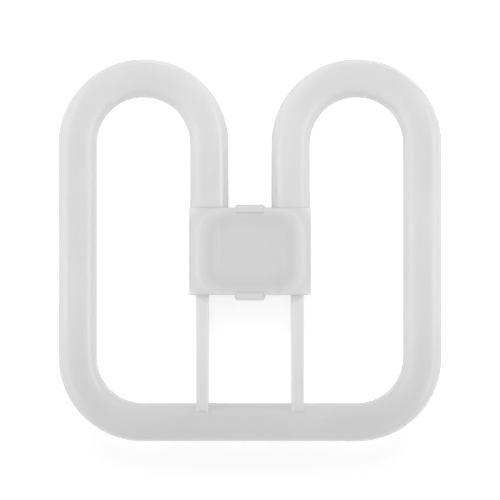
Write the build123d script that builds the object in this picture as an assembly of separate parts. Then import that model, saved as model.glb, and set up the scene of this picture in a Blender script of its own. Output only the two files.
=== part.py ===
from build123d import *
import os

# Butterfly LED lamp: one bent opal tube in a plug-in cap, braced by two stays. Millimetres.
# The lamp lies on its back. Seen from the front, X runs to the right and Y runs up the lamp, and +Z points
# out of its front. The origin is the middle of the plug's rear rim, which the lamp rests on.

# Tube
lamp_width = 140.0
lamp_height = 139.7
top_above_plug = 70.7  # top of the tube above the middle of the plug
tube_diameter = 14.0
leg_gap = 15.7  # clear width between the two inner legs
axis_height = 20.0  # tube axis above the plug's rear rim
spigot_diameter = 12.9  # leg ends inside the cap
spigot_length = 12.4

# Cap, split into cover and housing at the height of the tube's axis
cap_top = 16.4
cap_bottom = -15.5
sleeve_wall = 0.95
sleeve_clearance = 0.05  # spigot in its sleeve, all round
panel_drop = 1.0  # front panel below the crown of the sleeves
panel_blend = 4.0  # hollow round between sleeve and panel
panel_wall = 1.3
end_wall = 1.2
room_reach = 3.9  # inner room past the axis of each leg, which leaves a ledge for the leg end
cap_top_edge = 0.4  # chamfer round the end that the legs come out of
cap_bottom_edge = 0.7  # chamfer round the other end
lip_height = 1.0  # lip on the housing that locates the cover
lip_wall = 0.8
lip_clearance = 0.15

# Latch ledges at the top and the bottom of the housing, and the notches that show them through the cover
latch_width = 11.1
latch_reach = 17.42  # from the middle of the plug to the tip
latch_depth = 2.95  # from the tip back to the inner face
latch_rear = 12.8
latch_ramp = 2.0
latch_corner = 0.8
latch_clearance = 0.15
notch_width = 9.8
tab_height = 1.15  # tab on a ledge that fills its notch, above the face that a holder's clip hooks over
tab_drop = 0.3  # tab behind the front panel
tab_round = 0.8  # round on the outer edge of a tab
tab_clearance = 0.05  # tab in its notch, on either side

# Stays between the cap and the bottom run of the tube
stay_spacing = 34.7
stay_width = 4.6
stay_depth = 11.8
stay_edge = 0.3  # chamfer along the four long edges
groove_width = 2.3
groove_depth = 0.2
stay_core_width = 2.2  # hollow between the two halves of a stay
stay_core_depth = 7.2
saddle_clearance = 0.05

# Plug
plug_width = 25.0
plug_height = 21.0
plug_wall = 1.8
plug_round = 2.5
plug_edge = 0.4  # chamfer round the rear rim
socket_depth = 8.5
socket_floor = 1.6

# Contact pins, two rows of two
pin_diameter = 2.4
pin_spacing_x = 7.92
pin_spacing_y = 6.35
pin_tip_inset = 1.5  # tips behind the plug's rim
pin_tail = 1.2  # square tail through the socket's floor and the driver board
pin_tail_end = 0.8  # tail above the board
pin_clearance = 0.05

# Driver board and the parts on it: width, depth and height of each, and its place from the middle
board_thickness = 1.2
board_clearance = 0.3
capacitor_diameter = 6.3
capacitor_height = 9.0
package_chamfer = 0.25
film_size = (3.4, 6.0, 5.4)
film_place = (-7.2, 0.0)
inductor_size = (5.2, 5.6, 4.2)
inductor_place = (7.6, 0.0)
rectifier_size = (4.6, 3.8, 1.6)
rectifier_place = (0.0, -6.0)
chip_size = (4.9, 3.9, 1.5)
chip_place = (0.0, 6.0)
fuse_size = (4.0, 2.4, 2.4)
fuse_place = (-6.6, 6.2)
lead_width = 1.4
lead_thickness = 0.4
lead_bend = 1.5
lead_x = 9.6
lead_y = -5.6  # where a lead meets the board
lead_drop = 2.0  # lead below the tube's axis where it leaves the leg end

# Worked out from the sizes above
tube_radius = tube_diameter / 2
spigot_radius = spigot_diameter / 2
leg_x = leg_gap / 2 + tube_radius
side_x = lamp_width / 2 - tube_radius
bend_radius = (side_x - leg_x) / 2
top_bend_y = top_above_plug - tube_radius - bend_radius
base_y = top_above_plug - lamp_height + tube_radius
leg_end_y = cap_top - spigot_length
bore_radius = spigot_radius + sleeve_clearance
sleeve_radius = bore_radius + sleeve_wall
room_width = 2 * (leg_x + room_reach)
room_bottom = cap_bottom + end_wall
panel_level = sleeve_radius - panel_drop
latch_inner = latch_reach - latch_depth
tab_front = axis_height + panel_level - tab_drop
latch_front = tab_front - tab_height
inside_width = plug_width - 2 * plug_wall
inside_height = plug_height - 2 * plug_wall
floor_top = socket_depth + socket_floor
board_top = floor_top + board_thickness
pin_places = GridLocations(pin_spacing_x, pin_spacing_y, 2, 2)


def along_y(section, low, high):
    """Extrude a section, drawn in X and Z about the tube's axis, from one Y to another."""
    start = Plane((0, high, axis_height), x_dir=(1, 0, 0), z_dir=(0, -1, 0))
    return extrude(start * section, high - low)


def upright(section, low, high):
    """Extrude a section, drawn in X and Y, from one height to another."""
    return extrude(Pos(0, 0, low) * section, high - low)


def both_sides(shape):
    """A shape and its mirror image on the other side of the lamp."""
    return shape + mirror(shape, Plane.YZ)


def above_and_below(shape):
    """A shape above the middle of the plug and its mirror image below."""
    return shape + mirror(shape, Plane.XZ)


def tube_run():
    """Centre line of the tube, from one cap edge round to the other."""
    half = Curve() + [
        Line((leg_x, cap_top), (leg_x, top_bend_y)),
        CenterArc((leg_x + bend_radius, top_bend_y), bend_radius, 0, 180),
        Line((side_x, top_bend_y), (side_x, base_y + bend_radius)),
        CenterArc((side_x - bend_radius, base_y + bend_radius), bend_radius, -90, 90),
    ]
    base = Line((bend_radius - side_x, base_y), (side_x - bend_radius, base_y))
    run = half + base + mirror(half, Plane.YZ)
    return Pos(0, 0, axis_height) * Wire(run.edges())


def tube():
    """The sealed tube, with a spigot on each leg end that steps in under the cap."""
    start = Plane((leg_x, cap_top, axis_height), z_dir=(0, 1, 0))
    body = sweep(start * Circle(tube_radius), path=tube_run())
    spigot = along_y(Pos(leg_x, 0) * Circle(spigot_radius), leg_end_y, cap_top)
    return body + both_sides(spigot)


def cap_outside():
    """Both halves of the cap in one, solid, with a hollow round between each sleeve and the panels."""
    sleeves = both_sides(Pos(leg_x, 0) * Circle(sleeve_radius))
    section = sleeves + Rectangle(2 * leg_x, 2 * panel_level)
    hollows = [corner for corner in section.vertices() if abs(corner.X) < leg_x]
    section = fillet(hollows, panel_blend)
    body = along_y(section, cap_bottom, cap_top)
    by_y = body.edges().group_by(Axis.Y)
    body = chamfer(by_y[0], cap_bottom_edge)
    return chamfer(body.edges().group_by(Axis.Y)[-1], cap_top_edge)


def cap_rooms():
    """What is hollow in the cap: a bore for each leg, and one room behind the panel."""
    room = along_y(Rectangle(room_width, 2 * (panel_level - panel_wall)), room_bottom, cap_top - end_wall)
    bore = along_y(Pos(leg_x, 0) * Circle(bore_radius), leg_end_y, cap_top)
    return room + both_sides(bore)


def stays():
    """Two bars with a groove down the front and the back, hollow inside, cut to sit on the bottom run."""
    bar = chamfer(Rectangle(stay_width, stay_depth).vertices(), stay_edge)
    groove = Pos(0, (stay_depth - groove_depth) / 2) * Rectangle(groove_width, groove_depth)
    core = Rectangle(stay_core_width, stay_core_depth)
    section = bar - above_and_below(groove) - core
    stay = along_y(Pos(stay_spacing / 2, 0) * section, base_y, cap_bottom + end_wall / 2)
    run = Cylinder(tube_radius + saddle_clearance, lamp_width, rotation=(0, 90, 0))
    return both_sides(stay - Pos(0, base_y, axis_height) * run)


def cap_half(side):
    """The cap and its stays on one side of the parting plane, still without its rooms."""
    return split(cap_outside() + stays(), Plane.XY.offset(axis_height), keep=side)


def latch():
    """The upper latch ledge: a ramp at the rear for a clip to ride up, and a tab that fills its notch."""
    profile = Polyline(
        (latch_inner, latch_rear),
        (latch_reach - latch_ramp, latch_rear),
        (latch_reach, latch_rear + latch_ramp),
        (latch_reach, latch_front),
        (latch_inner, latch_front),
        close=True,
    )
    block = extrude(Plane.YZ * make_face(profile), latch_width / 2, both=True)
    tip = block.edges().filter_by(Axis.Z).group_by(Axis.Y)[-1]
    block = chamfer(tip, latch_corner)
    outline = Rectangle(notch_width - 2 * tab_clearance, latch_depth)
    tab = upright(Pos(0, latch_reach - latch_depth / 2) * outline, latch_front, tab_front)
    nose = tab.edges().group_by(Axis.Z)[-1].filter_by(Axis.X).sort_by(Axis.Y)[-1]
    return block + fillet(nose, tab_round)


def latch_cut_out():
    """Room in the cover for the upper latch ledge, and the narrower notch in the panel over it."""
    far = latch_reach + latch_depth
    inner = latch_inner - latch_clearance
    middle = Pos(0, (far + inner) / 2)
    slot = middle * Rectangle(latch_width + 2 * latch_clearance, far - inner)
    notch = middle * Rectangle(notch_width, far - inner)
    slot_top = latch_front + latch_clearance
    return upright(slot, axis_height, slot_top) + upright(notch, slot_top, axis_height + 2 * sleeve_radius)


def cap_cover():
    """Front half of the cap, with its halves of the stays."""
    return cap_half(Keep.TOP) - cap_rooms() - above_and_below(latch_cut_out())


def lip_outline(outward):
    """A U round the lower half of the room at the parting plane, its outer faces this far outside it."""
    height = leg_end_y - room_bottom
    inset = 2 * (lip_clearance + lip_wall)
    outer = Rectangle(room_width + 2 * outward, height + 2 * outward)
    inner = Rectangle(room_width - inset, height - inset)
    open_end = Pos(0, height / 2) * Rectangle(2 * room_width, inset)
    return Pos(0, room_bottom + height / 2) * (outer - inner - open_end)


def locating_lip():
    """A low wall on the housing's rim that fits inside the lower part of the cover."""
    root = upright(lip_outline(sleeve_wall / 2), axis_height - lip_height, axis_height)
    return root + upright(lip_outline(-lip_clearance), axis_height, axis_height + lip_height)


def plug():
    """The plug that goes over a lampholder, still solid."""
    outline = fillet(Rectangle(plug_width, plug_height).vertices(), plug_round)
    body = upright(outline, 0, axis_height - panel_level + panel_wall)
    return chamfer(body.faces().sort_by(Axis.Z)[0].edges(), plug_edge)


def tail_holes():
    """Square holes for the tails of the four pins."""
    hole = Rectangle(pin_tail + 2 * pin_clearance, pin_tail + 2 * pin_clearance)
    return Sketch() + pin_places * hole


def cap_housing():
    """Rear half of the cap, with its halves of the stays, the plug, the latch ledges and the lip."""
    inside = Rectangle(inside_width, inside_height)
    body = cap_half(Keep.BOTTOM) + plug()
    body = body - cap_rooms() - upright(inside, 0, socket_depth) - upright(inside, floor_top, axis_height)
    body -= upright(tail_holes(), socket_depth, floor_top)
    return body + above_and_below(latch()) + locating_lip()


def contact_pin():
    """A round pin that seats on the socket's floor, with a square tail through to the driver board."""
    shank = upright(Circle(pin_diameter / 2), pin_tip_inset, socket_depth)
    return shank + upright(Rectangle(pin_tail, pin_tail), socket_depth, board_top + pin_tail_end)


def driver_board():
    """The circuit board on the socket's floor, with a hole for the tail of each pin."""
    outline = Rectangle(inside_width - 2 * board_clearance, inside_height - 2 * board_clearance)
    return upright(outline - tail_holes(), floor_top, board_top)


def smoothing_capacitor():
    """A can that stands in the middle of the board."""
    return upright(Circle(capacitor_diameter / 2), board_top, board_top + capacitor_height)


def package(size, place):
    """A moulded part on the board, with chamfered top edges."""
    width, depth, height = size
    box = upright(Pos(*place) * Rectangle(width, depth), board_top, board_top + height)
    return chamfer(box.faces().sort_by(Axis.Z)[-1].edges(), package_chamfer)


def lead(side):
    """A flat lead that leaves the leg end and bends down to the driver board."""
    height = axis_height - lead_drop
    route = FilletPolyline((leg_end_y, height), (lead_y, height), (lead_y, board_top), radius=lead_bend)
    strip = Plane.YZ * trace(route, lead_thickness)
    return Pos(side * lead_x, 0, 0) * extrude(strip, lead_width / 2, both=True)


pieces = {
    "tube": tube(),
    "cap_cover": cap_cover(),
    "cap_housing": cap_housing(),
    "driver_board": driver_board(),
    "smoothing_capacitor": smoothing_capacitor(),
    "film_capacitor": package(film_size, film_place),
    "inductor": package(inductor_size, inductor_place),
    "bridge_rectifier": package(rectifier_size, rectifier_place),
    "driver_chip": package(chip_size, chip_place),
    "input_fuse": package(fuse_size, fuse_place),
    "lead_positive": lead(-1),
    "lead_negative": lead(1),
}
for number, place in enumerate(pin_places, start=1):
    pieces[f"contact_pin_{number}"] = place * contact_pin()

os.makedirs("parts", exist_ok=True)
for name, solid in pieces.items():
    export_step(solid, f"parts/{name}.step")
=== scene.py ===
# %% [markdown]
# Butterfly LED lamp. One sealed opal tube is bent into two wings. A moulded cap in the middle takes both
# ends of the tube, holds the driver and carries the plug, and two moulded stays brace the cap to the bottom
# run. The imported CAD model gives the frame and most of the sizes. This script keeps that frame and adds
# smooth meshes, finishes, light and a camera.

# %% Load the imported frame
import math

import bmesh
import bpy
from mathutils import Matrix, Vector


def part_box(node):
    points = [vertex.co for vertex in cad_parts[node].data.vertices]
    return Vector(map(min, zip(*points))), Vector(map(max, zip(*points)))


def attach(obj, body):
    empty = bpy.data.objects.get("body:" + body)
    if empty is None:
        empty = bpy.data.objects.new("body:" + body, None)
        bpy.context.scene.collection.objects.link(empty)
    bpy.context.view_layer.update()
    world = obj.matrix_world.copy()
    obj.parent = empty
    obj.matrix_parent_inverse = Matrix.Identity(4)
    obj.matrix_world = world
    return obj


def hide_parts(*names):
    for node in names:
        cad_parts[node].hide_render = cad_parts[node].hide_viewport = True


MM = 0.001  # the frame is in metres

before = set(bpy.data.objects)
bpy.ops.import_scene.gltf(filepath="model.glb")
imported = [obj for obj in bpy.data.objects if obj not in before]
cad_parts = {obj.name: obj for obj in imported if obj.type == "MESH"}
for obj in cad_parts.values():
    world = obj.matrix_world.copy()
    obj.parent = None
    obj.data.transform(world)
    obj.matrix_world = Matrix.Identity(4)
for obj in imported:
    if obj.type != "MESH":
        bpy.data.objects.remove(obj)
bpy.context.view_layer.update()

# %% [markdown]
# Sizes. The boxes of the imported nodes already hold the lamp's main sizes, so those are read from there and
# can't drift away from the CAD. A bounding box tells nothing about a wall or a groove, so such sizes are
# written out, in millimetres, where each piece is made.

# %% Sizes read from the frame
tube_low, tube_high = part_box("tube")
cover_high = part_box("cap_cover")[1]
tube_radius = (tube_high.z - tube_low.z) / 2
axis_height = (tube_high.z + tube_low.z) / 2
sleeve_radius = cover_high.z - axis_height
leg_x = cover_high.x - sleeve_radius
side_x = tube_high.x - tube_radius
bend_radius = (side_x - leg_x) / 2
top_y = tube_high.y - tube_radius
base_y = tube_low.y + tube_radius
cap_top = cover_high.y
print("tube radius", round(tube_radius / MM, 2), "mm, bend radius", round(bend_radius / MM, 2), "mm")

# %% [markdown]
# Camera. The photograph looks straight at the lamp's front through a long lens, so its outline hardly
# converges. The lamp lies on its back here, so the same view is from straight above. An orthographic camera
# would come close, but a long lens far away keeps the slight perspective of the real picture.

# %% Camera
PHOTO_WIDTH = 182.75 * MM  # width of the photograph at the height of the tube
PHOTO_MIDDLE = Vector((0, 0.93 * MM, axis_height))
CAMERA_DISTANCE = 1.6  # metres
VIEW_REACH = 50  # metres, past everything in the scene

camera = bpy.data.objects.new("camera", bpy.data.cameras.new("camera"))
bpy.context.scene.collection.objects.link(camera)
bpy.context.scene.camera = camera
camera.location = PHOTO_MIDDLE + Vector((0, 0, CAMERA_DISTANCE))
camera.data.lens = camera.data.sensor_width * CAMERA_DISTANCE / PHOTO_WIDTH
camera.data.clip_end = VIEW_REACH
bpy.context.scene.view_settings.view_transform = "Standard"
print("lens", round(camera.data.lens), "mm")

# %% [markdown]
# Light. White plastic on white shows its form only by soft greys. The greys of the photograph are those of
# a light tent, which is white all round. The world is that tent: it looks white wherever it is seen, and it
# gives less light than it shows, so that the lamps can draw the form. A picture of a real tent could light
# the scene too, but then no wall of it could be set by itself.

# %% World
FILL = 0.43  # light from all round, as a share of how bright the tent looks

world = bpy.data.worlds.new("tent")
bpy.context.scene.world = world
world.use_nodes = True
sky = world.node_tree.nodes["Background"]
sky.inputs["Color"].default_value = (1, 1, 1, 1)


def node(owner, kind, **settings):
    """Add a node to a material or a world and set its plain properties."""
    made = owner.node_tree.nodes.new(kind)
    for name, value in settings.items():
        setattr(made, name, value)
    return made


def wire(owner, source, target):
    """Link two sockets of a material or a world."""
    owner.node_tree.links.new(source, target)


def seen_rays(owner):
    """A socket that is 1 for what is seen straight, in a mirror or through glass, and 0 for other light."""
    rays = node(owner, "ShaderNodeLightPath")
    mirrored = node(owner, "ShaderNodeMath", operation="MAXIMUM")
    seen = node(owner, "ShaderNodeMath", operation="MAXIMUM")
    wire(owner, rays.outputs["Is Camera Ray"], mirrored.inputs[0])
    wire(owner, rays.outputs["Is Glossy Ray"], mirrored.inputs[1])
    wire(owner, mirrored.outputs[0], seen.inputs[0])
    wire(owner, rays.outputs["Is Transmission Ray"], seen.inputs[1])
    return seen.outputs[0]


white_to_eye = node(world, "ShaderNodeMapRange")
white_to_eye.inputs["To Min"].default_value = FILL
white_to_eye.inputs["To Max"].default_value = 1.0
wire(world, seen_rays(world), white_to_eye.inputs["Value"])
wire(world, white_to_eye.outputs["Result"], sky.inputs["Strength"])
print("the world gives", FILL, "of the light that it shows")

# %% [markdown]
# Lamps. Low walls of light on the left and right put a pale streak along both flanks of every tube, a
# dimmer wall lights the near side, and a closer lamp over the top makes the tone fall off down the picture.
# A faint, narrow ceiling lifts what faces straight up. The lamps that only fill are kept out of the
# reflections, as a photographer does with a polariser, so that no other streaks appear. How bright each
# lamp is was found by setting the render against the photograph. Places and sizes are in metres.

# %% Lamps
WALL_DISTANCE = 2.0
WALL_MIDDLE = 0.575
WALL_SIZE = (3.0, 0.95)
SIDE_GLOW = 1.6
NEAR_GLOW = 1.12
TOP_PLACE = (0, 0.3, 0.45)
TOP_SIZE = (0.6, 0.4)
TOP_GLOW = 1.26
CEILING_PLACE = (0, 0.25, 0.5)
CEILING_SIZE = (0.8, 0.6)
CEILING_GLOW = 0.125
CEILING_SPREAD = math.radians(10)


def softbox(name, place, size, glow, streaks=False):
    """A soft lamp that faces the middle of the picture. A glow of 1 is as bright as the tent looks."""
    width, height = size
    light = bpy.data.lights.new(name, "AREA")
    light.shape = "RECTANGLE"
    light.size = width
    light.size_y = height
    light.energy = glow * math.pi * width * height
    lamp = bpy.data.objects.new(name, light)
    lamp.location = place
    lamp.rotation_euler = (PHOTO_MIDDLE - Vector(place)).to_track_quat("-Z", "Y").to_euler()
    lamp.visible_glossy = streaks
    bpy.context.scene.collection.objects.link(lamp)
    return lamp


softbox("left_wall", (-WALL_DISTANCE, 0, WALL_MIDDLE), WALL_SIZE, SIDE_GLOW, streaks=True)
softbox("right_wall", (WALL_DISTANCE, 0, WALL_MIDDLE), WALL_SIZE, SIDE_GLOW, streaks=True)
softbox("near_wall", (0, -WALL_DISTANCE, WALL_MIDDLE), WALL_SIZE, NEAR_GLOW)
softbox("top_lamp", TOP_PLACE, TOP_SIZE, TOP_GLOW)
ceiling = softbox("ceiling", CEILING_PLACE, CEILING_SIZE, CEILING_GLOW)
ceiling.rotation_euler = (0, 0, 0)  # straight down
ceiling.data.spread = CEILING_SPREAD

# %% [markdown]
# Floor. It is plain and pale. What the eye sees of it is its own shaded white plus a steady glow, so that
# it reads as paper white and keeps a faint shadow, while the light that it throws back on the lamp stays
# that of ordinary white paper. It ends just inside the walls of light, because behind them it would lie in
# the dark.

# %% Floor
FLOOR_SIZE = 3.8  # metres
FLOOR_WHITE = 0.93
FLOOR_GLOW = 0.36

edge = FLOOR_SIZE / 2
floor_corners = [(-edge, -edge, 0), (edge, -edge, 0), (edge, edge, 0), (-edge, edge, 0)]
floor_mesh = bpy.data.meshes.new("floor")
floor_mesh.from_pydata(floor_corners, [], [(0, 1, 2, 3)])
floor = bpy.data.objects.new("floor", floor_mesh)
bpy.context.scene.collection.objects.link(floor)

paper = bpy.data.materials.new("floor_paper")
paper.use_nodes = True
paper.node_tree.nodes.clear()


def floor_paper():
    """White paper that glows a little for what looks at it straight, in a mirror or through glass."""
    shaded = node(paper, "ShaderNodeBsdfDiffuse")
    shaded.inputs["Color"].default_value = (FLOOR_WHITE, FLOOR_WHITE, FLOOR_WHITE, 1)
    strength = node(paper, "ShaderNodeMath", operation="MULTIPLY")
    strength.inputs[1].default_value = FLOOR_GLOW
    glow = node(paper, "ShaderNodeEmission")
    both = node(paper, "ShaderNodeAddShader")
    out = node(paper, "ShaderNodeOutputMaterial")
    wire(paper, seen_rays(paper), strength.inputs[0])
    wire(paper, strength.outputs[0], glow.inputs["Strength"])
    wire(paper, shaded.outputs[0], both.inputs[0])
    wire(paper, glow.outputs[0], both.inputs[1])
    wire(paper, both.outputs[0], out.inputs["Surface"])


floor_paper()
floor_mesh.materials.append(paper)
print("floor", FLOOR_SIZE, "m wide")

# %% [markdown]
# Finishes. Every finish of the lamp is made of the same few nodes, so they go into one function: a broad
# noise keeps a colour from being one flat tone, and a fine noise drives the roughness and a bump so small
# that it only breaks up the streaks of light. Pictures could do that too, but the meshes would have to be
# unwrapped for them, while a noise fills a piece by itself.

# %% Finish tools
TONE_STOPS = (0.3, 0.7)  # where the noise of the patches reaches each of the two tones
PATCH_DETAIL = 2
GRAIN_DETAIL = 3
BUMP_SHARE = 0.3  # of the grain's depth


def grey(level):
    """A neutral colour."""
    return (level, level, level, 1)


def noise(material, size, detail):
    """A socket with a noise over the piece, whose patches are about as large as the size."""
    place = node(material, "ShaderNodeTexCoord")
    made = node(material, "ShaderNodeTexNoise")
    made.inputs["Scale"].default_value = 1 / size
    made.inputs["Detail"].default_value = detail
    wire(material, place.outputs["Object"], made.inputs["Vector"])
    return made.outputs["Fac"]


def finish(name, tones, patch_size, roughness, grain_size, grain_depth):
    """A material of two close tones in broad patches, with a fine grain in its roughness and bump."""
    material = bpy.data.materials.new(name)
    material.use_nodes = True
    shader = material.node_tree.nodes["Principled BSDF"]
    tone = node(material, "ShaderNodeValToRGB", name="tone")
    for stop, position, colour in zip(tone.color_ramp.elements, TONE_STOPS, tones):
        stop.position = position
        stop.color = colour
    gloss = node(material, "ShaderNodeMapRange")
    gloss.inputs["To Min"].default_value = roughness[0]
    gloss.inputs["To Max"].default_value = roughness[1]
    bump = node(material, "ShaderNodeBump")
    bump.inputs["Strength"].default_value = BUMP_SHARE
    bump.inputs["Distance"].default_value = grain_depth
    patches = noise(material, patch_size, PATCH_DETAIL)
    grain = noise(material, grain_size, GRAIN_DETAIL)
    wire(material, patches, tone.inputs["Fac"])
    wire(material, tone.outputs["Color"], shader.inputs["Base Color"])
    wire(material, grain, gloss.inputs["Value"])
    wire(material, gloss.outputs["Result"], shader.inputs["Roughness"])
    wire(material, grain, bump.inputs["Height"])
    wire(material, bump.outputs["Normal"], shader.inputs["Normal"])
    return material


print("a finish has its two tones at", TONE_STOPS, "of the noise")

# %% [markdown]
# Opal plastic. The tube is milky and satin: light goes a little way in and comes back softened, which is
# what subsurface scattering does. A white core in a clear tube could be modelled too, but the real tube is
# sealed and shows nothing of its inside.

# %% Opal plastic
def make_milky(material, share, depth):
    """Let a share of the light go into a material by a depth before it comes back."""
    shader = material.node_tree.nodes["Principled BSDF"]
    shader.inputs["Subsurface Weight"].default_value = share
    shader.inputs["Subsurface Radius"].default_value = (1, 1, 1)  # as deep for every colour
    shader.inputs["Subsurface Scale"].default_value = depth


opal_plastic = finish(
    "milky_opal",
    tones=(grey(0.735), grey(0.765)),
    patch_size=30 * MM,
    roughness=(0.2, 0.27),
    grain_size=1.2 * MM,
    grain_depth=0.02 * MM,
)
make_milky(opal_plastic, share=1.0, depth=0.8 * MM)
print("tube material:", opal_plastic.name)

# %% [markdown]
# White plastic of the cap. It is a little less glossy than the tube, and its tone carries painted shade. The
# cover's wall is thin, so the dark driver behind it shows through as a greyer square with soft, round
# corners, strongest along its rim, while both ends of the cap stay pale. Light scattered in the wall could
# do that, but it would take many samples, so the shade is put into the tone. A second band of painted shade
# darkens the outer flanks of the sleeves, which the side walls of light would leave too pale, and the
# painted shade also reaches the tops of the stays and the latch tabs. The fourth root of a sum of fourth
# powers of the two distances from the middle draws such a square without any picture: it rises from 0 in
# the middle to 1 where the shade has faded.

# %% White plastic
SHADE_MIDDLE = 0.15 * MM
SHADE_REACH_X = 24.0 * MM
SHADE_REACH_Y = 20.0 * MM
FOURTH_ROOT = 0.25
MIX_COLOURS = (6, 7)  # the sockets of a Mix node that take colours
MIXED_COLOUR = 2  # and the one that gives the mixed colour
# painted shade: the dip from 0.87 to 0.93 darkens the outer flanks of the sleeves
SHADE_STEPS = (  # distance from the middle, and the share of the tone that is left there
    (0.40, 0.845),
    (0.52, 0.82),
    (0.60, 0.795),
    (0.655, 0.81),
    (0.715, 0.86),
    (0.80, 0.91),
    (0.87, 0.865),
    (0.93, 0.88),
    (1.0, 1.0),
)


def distance_from_middle(material):
    """A socket with a distance from the cap's middle that is the same along a square with round corners."""
    place = node(material, "ShaderNodeTexCoord")
    centred = node(material, "ShaderNodeMapping", vector_type="TEXTURE")
    centred.inputs["Location"].default_value = (0, SHADE_MIDDLE, 0)
    centred.inputs["Scale"].default_value = (SHADE_REACH_X, SHADE_REACH_Y, 1)
    flat = node(material, "ShaderNodeVectorMath", operation="MULTIPLY")
    flat.inputs[1].default_value = (1, 1, 0)
    squared = node(material, "ShaderNodeVectorMath", operation="MULTIPLY")
    fourth = node(material, "ShaderNodeVectorMath", operation="DOT_PRODUCT")
    distance = node(material, "ShaderNodeMath", operation="POWER")
    distance.inputs[1].default_value = FOURTH_ROOT
    wire(material, place.outputs["Object"], centred.inputs["Vector"])
    wire(material, centred.outputs["Vector"], flat.inputs[0])
    wire(material, flat.outputs["Vector"], squared.inputs[0])
    wire(material, flat.outputs["Vector"], squared.inputs[1])
    wire(material, squared.outputs["Vector"], fourth.inputs[0])
    wire(material, squared.outputs["Vector"], fourth.inputs[1])
    wire(material, fourth.outputs["Value"], distance.inputs[0])
    return distance.outputs[0]


def paint_cap_shade(material):
    """Paint shade into a plastic's tone: where the driver is close behind it, and along the cap's outer
    flanks.
    """
    shade = node(material, "ShaderNodeValToRGB")
    shade.color_ramp.interpolation = "EASE"
    for position, level in SHADE_STEPS[1:-1]:
        shade.color_ramp.elements.new(position)
    for stop, (position, level) in zip(shade.color_ramp.elements, SHADE_STEPS):
        stop.position = position
        stop.color = grey(level)
    shaded = node(material, "ShaderNodeMix", data_type="RGBA", blend_type="MULTIPLY")
    shaded.inputs["Factor"].default_value = 1
    tone = material.node_tree.nodes["tone"]
    shader = material.node_tree.nodes["Principled BSDF"]
    wire(material, distance_from_middle(material), shade.inputs["Fac"])
    wire(material, tone.outputs["Color"], shaded.inputs[MIX_COLOURS[0]])
    wire(material, shade.outputs["Color"], shaded.inputs[MIX_COLOURS[1]])
    wire(material, shaded.outputs[MIXED_COLOUR], shader.inputs["Base Color"])


white_plastic = finish(
    "cap_white",
    tones=(grey(0.795), grey(0.815)),
    patch_size=20 * MM,
    roughness=(0.38, 0.48),
    grain_size=0.6 * MM,
    grain_depth=0.02 * MM,
)
make_milky(white_plastic, share=0.3, depth=0.6 * MM)
# paints the driver's shade and the shade of the outer flanks into the cap's tone
paint_cap_shade(white_plastic)
print("cap material:", white_plastic.name)

# %% [markdown]
# Tools for Geometry Nodes. A tree is built once with named inputs, run on a small base mesh, and its result
# is kept as a plain mesh. The modifier goes, because the finished part has to stand without it.

# %% Geometry node tools
def node_tree(name, inputs):
    """A geometry node tree with a geometry input, these named inputs and a geometry output."""
    tree = bpy.data.node_groups.new(name, "GeometryNodeTree")
    tree.interface.new_socket("Geometry", in_out="INPUT", socket_type="NodeSocketGeometry")
    for label, kind in inputs.items():
        tree.interface.new_socket(label, in_out="INPUT", socket_type=kind)
    tree.interface.new_socket("Geometry", in_out="OUTPUT", socket_type="NodeSocketGeometry")
    return tree


def add(tree, kind, links=None, **settings):
    """Add a node to a tree, set its properties, and link sockets into its named inputs."""
    made = tree.nodes.new(kind)
    for name, value in settings.items():
        setattr(made, name, value)
    for name, source in (links or {}).items():
        tree.links.new(source, made.inputs[name])
    return made


def put_in_scene(name, mesh):
    """An object at the origin for a finished mesh."""
    piece = bpy.data.objects.new(name, mesh)
    bpy.context.scene.collection.objects.link(piece)
    return piece


def grow(name, base, tree, values):
    """Run a tree on a base mesh and keep the result as a plain mesh object."""
    source = put_in_scene(name + "_base", base)
    modifier = source.modifiers.new("nodes", "NODES")
    modifier.node_group = tree
    for socket in tree.interface.items_tree:
        if socket.in_out == "INPUT" and socket.name in values:
            modifier[socket.identifier] = values[socket.name]
    evaluated = source.evaluated_get(bpy.context.evaluated_depsgraph_get())
    mesh = bpy.data.meshes.new_from_object(evaluated)
    bpy.data.objects.remove(source)
    return put_in_scene(name, mesh)


def finish_tree(tree, geometry, material):
    """Last nodes of a tree: smooth shading, real geometry in place of copies, and the material."""
    smooth = add(tree, "GeometryNodeSetShadeSmooth", {"Geometry": geometry})
    real = add(tree, "GeometryNodeRealizeInstances", {"Geometry": smooth.outputs["Geometry"]})
    done = add(tree, "GeometryNodeSetMaterial", {"Geometry": real.outputs["Geometry"], "Material": material})
    add(tree, "NodeGroupOutput", {"Geometry": done.outputs["Geometry"]})


print("tools for node trees are ready")

# %% [markdown]
# Sweeping. The tube and the pins are round all along, so each is a line that a circle follows. A Screw
# modifier could turn the straight pins, but not the bent tube, so one sweep serves both. The points of a
# line carry named values, such as a girth, and the trees read them.

# %% Sweep tools
def line_mesh(name, places, **values):
    """A line through places in space, with named values at its points."""
    mesh = bpy.data.meshes.new(name)
    edges = [(i, i + 1) for i in range(len(places) - 1)]
    mesh.from_pydata(places, edges, [])
    for label, row in values.items():
        mesh.attributes.new(label, "FLOAT", "POINT").data.foreach_set("value", row)
    return mesh


def at_points(tree, label):
    """A socket with the value that a line's points have under a name."""
    found = add(tree, "GeometryNodeInputNamedAttribute", data_type="FLOAT")
    found.inputs["Name"].default_value = label
    return found.outputs["Attribute"]


def sweep(tree, curve, radius, sides):
    """Nodes that sweep a circle along a curve, scaled by the girth of its points, with closed ends."""
    ring = add(tree, "GeometryNodeCurvePrimitiveCircle", {"Resolution": sides, "Radius": radius})
    swept = add(tree, "GeometryNodeCurveToMesh", {
        "Curve": curve,
        "Profile Curve": ring.outputs["Curve"],
        "Scale": at_points(tree, "girth"),
    })
    swept.inputs["Fill Caps"].default_value = True
    return swept.outputs["Mesh"]


def open_edges(piece):
    """How many edges of a mesh don't join exactly two faces."""
    shape = bmesh.new()
    shape.from_mesh(piece.data)
    count = sum(not line.is_manifold for line in shape.edges)
    shape.free()
    return count


print("tools for sweeps are ready")

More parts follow.
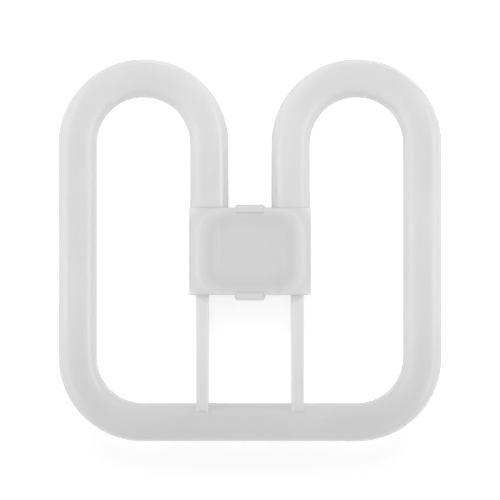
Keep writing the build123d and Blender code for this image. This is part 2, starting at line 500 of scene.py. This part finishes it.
# %% [markdown]
# The tube. On the real lamp a straight opal tube is heated and bent round formers, so it follows a rule:
# one line with rounded corners, swept by one circle. It could be modelled arc by arc, but Fillet Curve
# rounds a line of straight runs by itself, and Curve to Mesh sweeps it. Each leg ends in a thinner spigot,
# so every point of the line carries a girth, which scales the sweep, and a bend, which is 1 only where the
# line turns.

# %% Tube
SHARP_ANGLE = math.radians(32)  # edges that turn more than this stay sharp
SPIGOT_RADIUS = 6.45 * MM
SPIGOT_LENGTH = 12.4 * MM
SHOULDER_EDGE = 0.05 * MM
BEND_MEETING = 0.15 * MM  # short straight line left where two bends meet, so that the rings there stay apart
TUBE_SIDES = 96
BEND_STEPS = 40


def tube_tree():
    """Rounds a line's corners and sweeps a circle along it, scaled by the girth of its points."""
    tree = node_tree("bent_tube", {
        "Tube Radius": "NodeSocketFloat",
        "Bend Radius": "NodeSocketFloat",
        "Bend Steps": "NodeSocketInt",
        "Sides": "NodeSocketInt",
        "Material": "NodeSocketMaterial",
    })
    given = add(tree, "NodeGroupInput").outputs
    line = add(tree, "GeometryNodeMeshToCurve", {"Mesh": given["Geometry"]})
    radius = add(tree, "ShaderNodeMath", operation="MULTIPLY")
    tree.links.new(at_points(tree, "bend"), radius.inputs[0])
    tree.links.new(given["Bend Radius"], radius.inputs[1])
    bent = add(tree, "GeometryNodeFilletCurve", {
        "Curve": line.outputs["Curve"],
        "Count": given["Bend Steps"],
        "Radius": radius.outputs["Value"],
    }, mode="POLY")
    bent.inputs["Limit Radius"].default_value = True
    swept = sweep(tree, bent.outputs["Curve"], given["Tube Radius"], given["Sides"])
    finish_tree(tree, swept, given["Material"])
    return tree


def tube_line():
    """The tube's line before its corners are rounded, from one spigot end to the other."""
    spigot = SPIGOT_RADIUS / tube_radius
    shoulder = 1 - SHOULDER_EDGE / tube_radius
    half_line = [
        (leg_x, cap_top - SPIGOT_LENGTH, spigot, 0),
        (leg_x, cap_top, spigot, 0),
        (leg_x, cap_top, shoulder, 0),
        (leg_x, cap_top + SHOULDER_EDGE, 1, 0),
        (leg_x, top_y, 1, 1),
        (side_x, top_y, 1, 1),
        (side_x, base_y, 1, 1),
    ]
    line = half_line + [(-x, *rest) for x, *rest in reversed(half_line)]
    xs, ys, girths, bends = zip(*line)
    return line_mesh("tube_line", [(x, y, axis_height) for x, y in zip(xs, ys)], girth=girths, bend=bends)


tube = grow("opal_tube", tube_line(), tube_tree(), {
    "Tube Radius": tube_radius,
    "Bend Radius": bend_radius - BEND_MEETING,
    "Bend Steps": BEND_STEPS,
    "Sides": TUBE_SIDES,
    "Material": opal_plastic,
})
tube.data.set_sharp_from_angle(angle=SHARP_ANGLE)
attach(tube, "root")
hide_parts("tube")
print("tube faces:", len(tube.data.polygons), "open edges:", open_edges(tube))

# %% [markdown]
# Prisms. A moulding is a few prisms put together: an outline carried along a line, with others joined on or
# cut out. They could be pulled out of cubes by hand, but outlines with named sizes are easier to change.

# %% Prism tools
def arc(centre, radius, start, end, steps):
    """Points of an arc in a plane, both ends included."""
    turns = [start + (end - start) * i / steps for i in range(steps + 1)]
    return [(centre[0] + radius * math.cos(turn), centre[1] + radius * math.sin(turn)) for turn in turns]


def loft(name, *outlines):
    """A closed solid through outlines in space that have as many points."""
    shape = bmesh.new()
    rings = [[shape.verts.new(point) for point in outline] for outline in outlines]
    shape.faces.new(rings[0])
    shape.faces.new(rings[-1])
    for near, far in zip(rings, rings[1:]):
        for i in range(len(near)):
            shape.faces.new((near[i - 1], near[i], far[i], far[i - 1]))
    bmesh.ops.recalc_face_normals(shape, faces=shape.faces)
    mesh = bpy.data.meshes.new(name)
    shape.to_mesh(mesh)
    shape.free()
    return put_in_scene(name, mesh)


def prism(name, outline, along):
    """A closed solid: an outline in space, carried along a vector."""
    return loft(name, outline, [Vector(point) + Vector(along) for point in outline])


def block(name, low, high, flare=0):
    """A box between two corners, wider at its top by a flare on every side."""
    foot = [(low[0], low[1]), (high[0], low[1]), (high[0], high[1]), (low[0], high[1])]
    ways = [(-1, -1), (1, -1), (1, 1), (-1, 1)]
    near = [(x, y, low[2]) for x, y in foot]
    far = [(x + i * flare, y + j * flare, high[2]) for (x, y), (i, j) in zip(foot, ways)]
    return loft(name, near, far)


print("tools for prisms are ready")

# %% [markdown]
# Joining and rounding. Boolean modifiers join prisms or cut them out. The outer corners of a moulding are a
# little round, and those rounds catch the light. One Bevel over the finished moulding could make them, but
# it folds where a boolean leaves thin faces, so most prisms get a Bevel of their own before they are
# joined. Weights on the edges keep the rounds at the parting plane finer, which leaves a thin seam between
# the two halves of the cap.

# %% Joining and rounding tools
SAME_PLACE = 0.01 * MM  # an edge nearer to a plane than this lies in it
ROUND_SEGMENTS = 3


def settle(body):
    """Keep what a piece's modifiers make as its plain mesh."""
    evaluated = body.evaluated_get(bpy.context.evaluated_depsgraph_get())
    mesh = bpy.data.meshes.new_from_object(evaluated)
    body.modifiers.clear()
    body.data = mesh
    return body


def combine(body, operation, *tools):
    """Unite other solids with a body, cut them from it, or keep what they share."""
    for tool in tools:
        step = body.modifiers.new(tool.name, "BOOLEAN")
        step.operation = operation
        step.solver = "MANIFOLD"
        step.object = tool
    settle(body)
    for tool in tools:
        bpy.data.objects.remove(tool)
    return body


def soften(body, edge, places=()):
    """Round a solid's corners by one width, and by another on given planes: axis, place and width."""
    shape = bmesh.new()
    shape.from_mesh(body.data)
    weight = shape.edges.layers.float.new("bevel_weight_edge")
    for line in shape.edges:
        if line.calc_face_angle(0) > SHARP_ANGLE:
            line[weight] = 1
            for axis, place, width in places:
                if all(abs(corner.co[axis] - place) < SAME_PLACE for corner in line.verts):
                    line[weight] = width / edge
    shape.to_mesh(body.data)
    shape.free()
    bevel = body.modifiers.new("rounds", "BEVEL")
    bevel.limit_method = "WEIGHT"
    bevel.width = edge
    bevel.segments = ROUND_SEGMENTS
    bevel.use_clamp_overlap = False
    return settle(body)


print("a round has", ROUND_SEGMENTS, "segments")

# %% [markdown]
# Shading of the mouldings. A boolean can leave points almost in one place, and welding them takes away the
# slivers between them. More faces in every round would make the shading smooth, but weighted normals do it
# with few: flat faces stay flat and the rounds run into them.

# %% Shading tools
WELD_REACH = 0.001 * MM


def weld(body):
    """Join the points that a boolean left almost in one place."""
    shape = bmesh.new()
    shape.from_mesh(body.data)
    bmesh.ops.remove_doubles(shape, verts=shape.verts, dist=WELD_REACH)
    bmesh.ops.dissolve_degenerate(shape, edges=shape.edges, dist=WELD_REACH)
    shape.to_mesh(body.data)
    shape.free()


def shade(body, material):
    """Smooth the shading over rounds and curves, keep flat faces flat, and give the piece its finish."""
    weld(body)
    for face in body.data.polygons:
        face.use_smooth = True
    body.data.set_sharp_from_angle(angle=SHARP_ANGLE)
    weighted = body.modifiers.new("normals", "WEIGHTED_NORMAL")
    weighted.keep_sharp = True
    settle(body)
    body.data.materials.clear()
    body.data.materials.append(material)
    return body


print("points are welded within", round(WELD_REACH / MM, 4), "mm")

# %% [markdown]
# The cap's form. Across the cap, two round sleeves for the tube's legs stand a little proud of a flat panel
# and run into it by a hollow round. It could be joined from cylinders and boxes, but that section is the
# same from end to end, so one outline makes both halves: the cover above the parting plane and the housing
# below.

# %% Cap halves
CAP_BOTTOM = -15.5 * MM
PANEL_LEVEL = 6.45 * MM  # panels from the tube's axis
PANEL_BLEND = 4.0 * MM
PANEL_WALL = 1.3 * MM
END_WALL = 1.2 * MM
ROOM_REACH = 3.9 * MM  # inner room past the axis of each leg
SLEEVE_CLEARANCE = 0.05 * MM
CAP_TOP_EDGE = 0.4 * MM
CAP_BOTTOM_EDGE = 0.7 * MM
SEAM_EDGE = 0.12 * MM
SLEEVE_STEPS = 48
BLEND_STEPS = 10
ROUND_STEPS = 96


def cap_section():
    """Outer line of half of the cap, from parting edge to parting edge, as x and distance from the axis."""
    rise = PANEL_LEVEL + PANEL_BLEND
    reach = math.sqrt((sleeve_radius + PANEL_BLEND) ** 2 - rise ** 2)
    lean = math.atan2(rise, reach)
    sleeve = arc((-leg_x, 0), sleeve_radius, math.pi, lean, SLEEVE_STEPS)
    hollow = arc((reach - leg_x, rise), PANEL_BLEND, lean + math.pi, 1.5 * math.pi, BLEND_STEPS)
    half_line = sleeve + hollow[1:]
    return half_line + [(-x, out) for x, out in reversed(half_line)]


def cap_half(name, side):
    """Half of the cap, still solid: side is 1 for the cover in front and -1 for the housing behind."""
    outline = [(x, CAP_BOTTOM, axis_height + side * out) for x, out in cap_section()]
    body = prism(name, outline, (0, cap_top - CAP_BOTTOM, 0))
    return soften(body, CAP_BOTTOM_EDGE, [(1, cap_top, CAP_TOP_EDGE), (2, axis_height, SEAM_EDGE)])


def cap_rooms():
    """What is hollow in the cap: one room behind the panels, and a bore for each leg of the tube."""
    room_half = leg_x + ROOM_REACH
    room_depth = PANEL_LEVEL - PANEL_WALL
    room = block(
        "room",
        (-room_half, CAP_BOTTOM + END_WALL, axis_height - room_depth),
        (room_half, cap_top - END_WALL, axis_height + room_depth),
    )
    tools = [room]
    for x in (-leg_x, leg_x):
        circle = arc((x, axis_height), SPIGOT_RADIUS + SLEEVE_CLEARANCE, 0, 2 * math.pi, ROUND_STEPS)[1:]
        start = cap_top - SPIGOT_LENGTH
        tools.append(prism("bore", [(u, start, z) for u, z in circle], (0, 2 * SPIGOT_LENGTH, 0)))
    return tools


print("cap", round((cap_top - CAP_BOTTOM) / MM, 1), "mm long, its outline has", len(cap_section()), "points")

# %% [markdown]
# The stays. Two grooved bars, hollow inside, go from the cap to the bottom run of the tube and sit on it
# like a saddle. The saddle could be drawn as an arc in each bar, but cutting the run out of the bar gives
# its form by itself.

# %% Stays
STAY_X = 17.35 * MM
STAY_HALF = 2.3 * MM
STAY_DEPTH = 5.9 * MM  # from the parting plane
STAY_EDGE = 0.3 * MM
GROOVE_HALF = 1.15 * MM
GROOVE_DEPTH = 0.2 * MM
GROOVE_EDGE = 0.08 * MM
CORE_HALF = 1.1 * MM
CORE_DEPTH = 3.6 * MM
SADDLE_CLEARANCE = 0.05 * MM


def stay_half(name, x, side):
    """Half of a stay: a bar with a groove down its face and a hollow core, cut to sit on the bottom run."""
    half_line = [
        (CORE_HALF, 0),
        (STAY_HALF, 0),
        (STAY_HALF, STAY_DEPTH),
        (GROOVE_HALF, STAY_DEPTH),
        (GROOVE_HALF, STAY_DEPTH - GROOVE_DEPTH),
    ]
    line = half_line + [(-across, out) for across, out in reversed(half_line)]
    line += [(-CORE_HALF, CORE_DEPTH), (CORE_HALF, CORE_DEPTH)]
    outline = [(x + across, base_y, axis_height + side * out) for across, out in line]
    bar = prism(name, outline, (0, CAP_BOTTOM + END_WALL / 2 - base_y, 0))
    groove_sides = [(0, x + way * GROOVE_HALF, GROOVE_EDGE) for way in (-1, 1)]
    soften(bar, STAY_EDGE, [*groove_sides, (2, axis_height, SEAM_EDGE)])
    circle = arc((base_y, axis_height), tube_radius + SADDLE_CLEARANCE, 0, 2 * math.pi, ROUND_STEPS)[1:]
    run = prism("bottom_run", [(-side_x, y, z) for y, z in circle], (2 * side_x, 0, 0))
    return combine(bar, "DIFFERENCE", run)


print("stays", round(2 * STAY_X / MM, 1), "mm apart")

# %% [markdown]
# The cover. It is the front half of the cap. A notch at the top and at the bottom of its panel lets a latch
# tab of the housing through, with a gap as thin as a hair round it. The notches could be drawn as part of
# the cap's section, but that section runs through from end to end, so they are cut out of it.

# %% Cap cover
LATCH_HALF = 5.55 * MM
LATCH_REACH = 17.42 * MM
LATCH_INNER = 14.47 * MM
LATCH_CLEARANCE = 0.15 * MM
NOTCH_HALF = 4.9 * MM
NOTCH_EDGE = 0.12 * MM
TAB_HEIGHT = 1.15 * MM
TAB_DROP = 0.3 * MM
panel_front = axis_height + PANEL_LEVEL
tab_front = panel_front - TAB_DROP
latch_front = tab_front - TAB_HEIGHT


def latch_cut_outs():
    """Room in the cover for both latch ledges, and the narrower notches in the panel over them."""
    tools = []
    for way in (1, -1):
        ends = sorted([way * (LATCH_INNER - LATCH_CLEARANCE), way * 2 * LATCH_REACH])
        slot_half = LATCH_HALF + LATCH_CLEARANCE
        slot_top = latch_front + LATCH_CLEARANCE
        tools.append(block("slot", (-slot_half, ends[0], 0), (slot_half, ends[1], slot_top)))
        tools.append(block("notch", (-NOTCH_HALF, ends[0], 0), (NOTCH_HALF, ends[1], 2 * axis_height)))
        edge_low = (-NOTCH_HALF, ends[0], panel_front - NOTCH_EDGE)
        edge_high = (NOTCH_HALF, ends[1], panel_front + NOTCH_EDGE)
        tools.append(block("notch_edge", edge_low, edge_high, flare=2 * NOTCH_EDGE))
    return tools


def cap_cover():
    """The front half of the cap with its halves of the stays."""
    body = cap_half("cap_front", 1)
    combine(body, "DIFFERENCE", *latch_cut_outs(), *cap_rooms())
    stays = [stay_half(f"stay_front_{i}", x, 1) for i, x in enumerate((-STAY_X, STAY_X))]
    combine(body, "UNION", *stays)
    return shade(body, white_plastic)


cover = cap_cover()
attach(cover, "root")
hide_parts("cap_cover")
print("cap cover faces:", len(cover.data.polygons), "open edges:", open_edges(cover))

# %% [markdown]
# The plug. It stands under the rear half of the cap: a deep socket with rounded corners that slides over a
# lampholder. A box with a Bevel could be its start, but a Bevel leaves folds on a face with a hole in it,
# so the plug and its socket are lofted through their rounds ring by ring.

# %% Plug
PLUG_HALF_X = 12.5 * MM
PLUG_HALF_Y = 10.5 * MM
PLUG_WALL = 1.8 * MM
PLUG_ROUND = 2.5 * MM
PLUG_EDGE = 0.4 * MM
SOCKET_DEPTH = 8.5 * MM
SOCKET_ROUND = 0.6 * MM
SOCKET_EDGE = 0.3 * MM
CORNER_STEPS = 12
EDGE_STEPS = 4


def rounded_rectangle(half_x, half_y, radius):
    """Corner arcs of a rectangle, anticlockwise."""
    line = []
    for i, (x, y) in enumerate(((1, 1), (-1, 1), (-1, -1), (1, -1))):
        centre = (x * (half_x - radius), y * (half_y - radius))
        line += arc(centre, radius, i * math.pi / 2, (i + 1) * math.pi / 2, CORNER_STEPS)
    return line


def rectangle_at(height, inset, half_x, half_y, radius):
    """A rectangle with round corners at a height, drawn in by an inset all round."""
    outline = rounded_rectangle(half_x - inset, half_y - inset, radius - inset)
    return [(x, y, height) for x, y in outline]


def edge_round(radius):
    """A quarter round in steps, each with its height above a rim and its inset from a wall."""
    turns = [i * math.pi / 2 / EDGE_STEPS for i in range(EDGE_STEPS + 1)]
    return [(radius * (1 - math.cos(turn)), radius * (1 - math.sin(turn))) for turn in turns]


def plug():
    """The plug's walls and the floor of its socket, up into the wall of the cap, with a round rim."""
    outer = (PLUG_HALF_X, PLUG_HALF_Y, PLUG_ROUND)
    inner = (PLUG_HALF_X - PLUG_WALL, PLUG_HALF_Y - PLUG_WALL, SOCKET_ROUND)
    walls = [rectangle_at(height, inset, *outer) for height, inset in edge_round(PLUG_EDGE)]
    walls.append(rectangle_at(axis_height - PANEL_LEVEL + PANEL_WALL / 2, 0, *outer))
    mouth = [rectangle_at(height, -inset, *inner) for height, inset in edge_round(PLUG_EDGE)]
    below = rectangle_at(-PLUG_EDGE, -PLUG_EDGE, *inner)
    corner = reversed(edge_round(SOCKET_EDGE))
    top = [rectangle_at(SOCKET_DEPTH - drop, inset, *inner) for drop, inset in corner]
    return combine(loft("plug", *walls), "DIFFERENCE", loft("socket", below, *mouth, *top))


print("socket", round(SOCKET_DEPTH / MM, 1), "mm deep")

# %% [markdown]
# The latches. Two ledges of the housing hold the lamp in its holder. Each has a ramp at the rear, which
# pushes a holder's clip aside, and in front a tab with a round nose, which shows in the cover's notch. A
# ledge could be a box with its corners cut off one by one. Here it is what its side view and its plan
# share, which cuts all of them at once.

# %% Latches
LATCH_REAR = 12.8 * MM
LATCH_RAMP = 2.0 * MM
LATCH_CORNER = 0.8 * MM
LATCH_EDGE = 0.2 * MM
TAB_CLEARANCE = 0.02 * MM
TAB_GAP_ABOVE = 0.07 * MM  # between the upper tab and the cover
TAB_GAP_BELOW = 0.02 * MM
TAB_HALF = NOTCH_HALF - TAB_CLEARANCE
TAB_ROUND = 0.8 * MM
TAB_EDGE = 0.12 * MM
NOSE_STEPS = 8


def ledge(way):
    """A latch ledge at the top (way 1) or the bottom (way -1) of the housing, with a ramp at its rear."""
    profile = [
        (LATCH_INNER, LATCH_REAR),
        (LATCH_REACH - LATCH_RAMP, LATCH_REAR),
        (LATCH_REACH, LATCH_REAR + LATCH_RAMP),
        (LATCH_REACH, latch_front),
        (LATCH_INNER, latch_front),
    ]
    body = prism("ledge", [(-LATCH_HALF, way * y, z) for y, z in profile], (2 * LATCH_HALF, 0, 0))
    half_plan = [
        (LATCH_HALF, 0),
        (LATCH_HALF, LATCH_REACH - LATCH_CORNER),
        (LATCH_HALF - LATCH_CORNER, LATCH_REACH),
    ]
    plan = half_plan + [(-x, y) for x, y in reversed(half_plan)]
    corners = prism("ledge_plan", [(x, way * y, 0) for x, y in plan], (0, 0, 2 * axis_height))
    return soften(combine(body, "INTERSECT", corners), LATCH_EDGE)


def tab(way, gap):
    """The tab in front of a ledge, with a round nose. It starts a little inside the ledge."""
    inner = LATCH_INNER - LATCH_CLEARANCE + gap
    nose = arc((LATCH_REACH - TAB_ROUND, tab_front - TAB_ROUND), TAB_ROUND, 0, math.pi / 2, NOSE_STEPS)
    root = latch_front - 2 * LATCH_EDGE
    profile = [(inner, root), (LATCH_REACH, root), *nose, (inner, tab_front)]
    body = prism("tab", [(-TAB_HALF, way * y, z) for y, z in profile], (2 * TAB_HALF, 0, 0))
    return soften(body, TAB_EDGE)


print("latch tips", round(2 * LATCH_REACH / MM, 2), "mm apart")

# %% [markdown]
# Inside the housing. A lip round the lower part of the room keeps the cover in its place, the driver has
# room over the plug, and the socket's floor has a square hole for the tail of each pin. A closed cap hides
# all but the holes, so these forms are plain prisms without rounds.

# %% Lip, room and holes
SOCKET_FLOOR = 1.6 * MM
TAIL_HALF = 0.6 * MM  # square tail of a contact pin
TAIL_CLEARANCE = 0.05 * MM
LIP_HEIGHT = 1.0 * MM
LIP_WALL = 0.8 * MM
LIP_CLEARANCE = 0.15 * MM
LIP_ROOT = 0.475 * MM  # root of the lip inside the housing's wall
pin_low, pin_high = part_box("contact_pin_4")
pin_middle = (pin_low + pin_high) / 2
pin_x = abs(pin_middle.x)
pin_y = abs(pin_middle.y)


def lip(name, outward, low, high):
    """A U-shaped wall round the lower part of the room, between two heights."""
    half_room = leg_x + ROOM_REACH
    thick = LIP_CLEARANCE + LIP_WALL
    bottom = CAP_BOTTOM + END_WALL
    top = cap_top - SPIGOT_LENGTH - thick
    half_line = [
        (half_room - thick, bottom + thick),
        (half_room - thick, top),
        (half_room + outward, top),
        (half_room + outward, bottom - outward),
    ]
    line = half_line + [(-x, y) for x, y in reversed(half_line)]
    return prism(name, [(x, y, low) for x, y in line], (0, 0, high - low))


def room_over_board():
    """Room for the driver, as wide as the plug is inside, from the socket's floor to above the lip."""
    half_x = PLUG_HALF_X - PLUG_WALL
    half_y = PLUG_HALF_Y - PLUG_WALL
    low = SOCKET_DEPTH + SOCKET_FLOOR
    high = axis_height + LIP_HEIGHT
    return block("room_over_board", (-half_x, -half_y, low), (half_x, half_y, high))


def tail_holes():
    """A square hole in the socket's floor for the tail of each pin."""
    half = TAIL_HALF + TAIL_CLEARANCE
    tools = []
    for x in (-pin_x, pin_x):
        for y in (-pin_y, pin_y):
            tools.append(block("tail_hole", (x - half, y - half, 0), (x + half, y + half, axis_height)))
    return tools


print("pins stand", round(2 * pin_x / MM, 2), "by", round(2 * pin_y / MM, 2), "mm apart")

# %% [markdown]
# The housing. It is the rear half of the cap, with the plug, the latches and its halves of the stays. One
# boolean could join everything, but the order counts: the rooms are cut after the plug and the stays are
# on, and the ledges, the tabs and the lip come last, so that no room is cut into them.

# %% Cap housing
def cap_housing():
    """The rear half of the cap with its halves of the stays, the plug, the latch ledges and the lip."""
    body = cap_half("cap_rear", -1)
    stays = [stay_half(f"stay_rear_{i}", x, -1) for i, x in enumerate((-STAY_X, STAY_X))]
    combine(body, "UNION", plug(), *stays)
    combine(body, "DIFFERENCE", room_over_board(), *cap_rooms(), *tail_holes())
    root = lip("lip_root", LIP_ROOT, axis_height - LIP_HEIGHT, axis_height)
    rim = lip("lip_rim", -LIP_CLEARANCE, axis_height - LIP_HEIGHT / 2, axis_height + LIP_HEIGHT)
    tabs = [tab(1, TAB_GAP_ABOVE), tab(-1, TAB_GAP_BELOW)]
    combine(body, "UNION", ledge(1), ledge(-1), *tabs, root, rim)
    return shade(body, white_plastic)


housing = cap_housing()
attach(housing, "root")
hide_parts("cap_housing")
print("cap housing faces:", len(housing.data.polygons), "open edges:", open_edges(housing))

# %% [markdown]
# Brass. Contact pins like these are turned from brass rod. A yellow plastic would look alike from far away,
# but a metal has no colour under its gloss: its tones go into what it reflects, and the Metallic input does
# that to any finish.

# %% Brass
def make_metal(material):
    """Turn a finish into bare metal."""
    material.node_tree.nodes["Principled BSDF"].inputs["Metallic"].default_value = 1


brass = finish(
    "turned_brass",
    tones=((0.62, 0.43, 0.15, 1), (0.7, 0.5, 0.2, 1)),
    patch_size=2 * MM,
    roughness=(0.22, 0.36),
    grain_size=0.15 * MM,
    grain_depth=0.01 * MM,
)
make_metal(brass)
print("pin material:", brass.name)

# %% [markdown]
# Contact pins. Four turned brass pins stand in the plug, in two rows, each with a round tip and a square
# tail that goes through the socket's floor to the driver board. They could be four copies of a lathed mesh.
# Here one pin is drawn as a line with a girth, swept like the tube and joined to its tail, and Geometry
# Nodes puts it on every point of a grid.

# %% Contact pins
TIP_ROUND = 0.7 * MM
TIP_STEPS = 8
PIN_SIDES = 48
TAIL_ROOT = 0.3 * MM  # tail inside the shank
PINS_IN_A_ROW = 2
pin_radius = (pin_high.x - pin_low.x) / 2
tail_low = SOCKET_DEPTH - TAIL_ROOT


def pin_line():
    """The line of one pin's round shank, from its tip to the socket's floor."""
    flat = pin_radius - TIP_ROUND
    tip = arc((pin_low.z + TIP_ROUND, flat), TIP_ROUND, math.pi, math.pi / 2, TIP_STEPS)
    heights, radii = zip(*tip, (SOCKET_DEPTH, pin_radius))
    girths = [radius / pin_radius for radius in radii]
    return line_mesh("pin_line", [(0, 0, z) for z in heights], girth=girths)


def one_pin(tree, given):
    """Nodes that sweep a pin's shank and join a square tail to it."""
    line = add(tree, "GeometryNodeMeshToCurve", {"Mesh": given["Geometry"]})
    shank = sweep(tree, line.outputs["Curve"], given["Pin Radius"], given["Sides"])
    bar = add(tree, "GeometryNodeMeshCube", {"Size": given["Tail Size"]})
    tail = add(tree, "GeometryNodeTransform", {
        "Geometry": bar.outputs["Mesh"],
        "Translation": given["Tail Middle"],
    })
    pin = add(tree, "GeometryNodeMeshBoolean", operation="UNION")
    tree.links.new(shank, pin.inputs["Mesh 2"])
    tree.links.new(tail.outputs["Geometry"], pin.inputs["Mesh 2"])
    return pin.outputs["Mesh"]


def pin_tree():
    """Makes one pin from its line and copies it over a grid of two by two."""
    tree = node_tree("contact_pins", {
        "Pin Radius": "NodeSocketFloat",
        "Sides": "NodeSocketInt",
        "Tail Size": "NodeSocketVector",
        "Tail Middle": "NodeSocketVector",
        "Spacing X": "NodeSocketFloat",
        "Spacing Y": "NodeSocketFloat",
        "Material": "NodeSocketMaterial",
    })
    given = add(tree, "NodeGroupInput").outputs
    places = add(tree, "GeometryNodeMeshGrid", {"Size X": given["Spacing X"], "Size Y": given["Spacing Y"]})
    places.inputs["Vertices X"].default_value = PINS_IN_A_ROW
    places.inputs["Vertices Y"].default_value = PINS_IN_A_ROW
    pins = add(tree, "GeometryNodeInstanceOnPoints", {
        "Points": places.outputs["Mesh"],
        "Instance": one_pin(tree, given),
    })
    finish_tree(tree, pins.outputs["Instances"], given["Material"])
    return tree


pins = grow("contact_pins", pin_line(), pin_tree(), {
    "Pin Radius": pin_radius,
    "Sides": PIN_SIDES,
    "Tail Size": (2 * TAIL_HALF, 2 * TAIL_HALF, pin_high.z - tail_low),
    "Tail Middle": (0, 0, (pin_high.z + tail_low) / 2),
    "Spacing X": 2 * pin_x,
    "Spacing Y": 2 * pin_y,
    "Material": brass,
})
pins.data.set_sharp_from_angle(angle=SHARP_ANGLE)
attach(pins, "root")
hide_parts(*[f"contact_pin_{number}" for number in range(1, 5)])
print("contact pin faces:", len(pins.data.polygons), "open edges:", open_edges(pins))

# %% [markdown]
# The driver. Its board and its parts stay inside the closed cap, so their CAD solids are kept as they are.
# Each still gets the finish of the real thing, for whoever takes the cap apart: a lacquered board, a shrunk
# sleeve, moulded cases, sintered ferrite and bright leads. Seven calls could do it, but a table shows side
# by side how the finishes differ.

# %% Driver
DRIVER_FINISHES = {  # tones, patch size, roughness, grain size and grain depth, then the CAD nodes
    "board_lacquer": (
        ((0.012, 0.075, 0.025, 1), (0.025, 0.14, 0.05, 1)), 2.5 * MM, (0.24, 0.34), 0.3 * MM, 0.02 * MM,
        ["driver_board"],
    ),
    "shrunk_sleeve": (
        ((0.012, 0.012, 0.018, 1), (0.02, 0.02, 0.028, 1)), 3 * MM, (0.26, 0.38), 0.4 * MM, 0.02 * MM,
        ["smoothing_capacitor"],
    ),
    "film_case": (
        ((0.44, 0.26, 0.025, 1), (0.5, 0.31, 0.04, 1)), 2 * MM, (0.3, 0.42), 0.25 * MM, 0.02 * MM,
        ["film_capacitor"],
    ),
    "sintered_ferrite": (
        (grey(0.022), grey(0.034)), 1 * MM, (0.55, 0.75), 0.1 * MM, 0.03 * MM,
        ["inductor"],
    ),
    "moulded_resin": (
        (grey(0.01), grey(0.016)), 1.5 * MM, (0.45, 0.6), 0.12 * MM, 0.02 * MM,
        ["bridge_rectifier", "driver_chip"],
    ),
    "fuse_brown": (
        ((0.1, 0.035, 0.014, 1), (0.14, 0.05, 0.02, 1)), 1.5 * MM, (0.3, 0.42), 0.2 * MM, 0.02 * MM,
        ["input_fuse"],
    ),
    "bright_tin": (
        (grey(0.56), grey(0.64)), 1.5 * MM, (0.26, 0.4), 0.2 * MM, 0.01 * MM,
        ["lead_positive", "lead_negative"],
    ),
}


def paint(material, *names):
    """Give CAD nodes a finish."""
    for name in names:
        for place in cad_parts[name].material_slots:
            place.material = material


for name, (*looks, nodes) in DRIVER_FINISHES.items():
    paint(finish(name, *looks), *nodes)
make_metal(bpy.data.materials["bright_tin"])
print("finishes of the driver:", list(DRIVER_FINISHES))
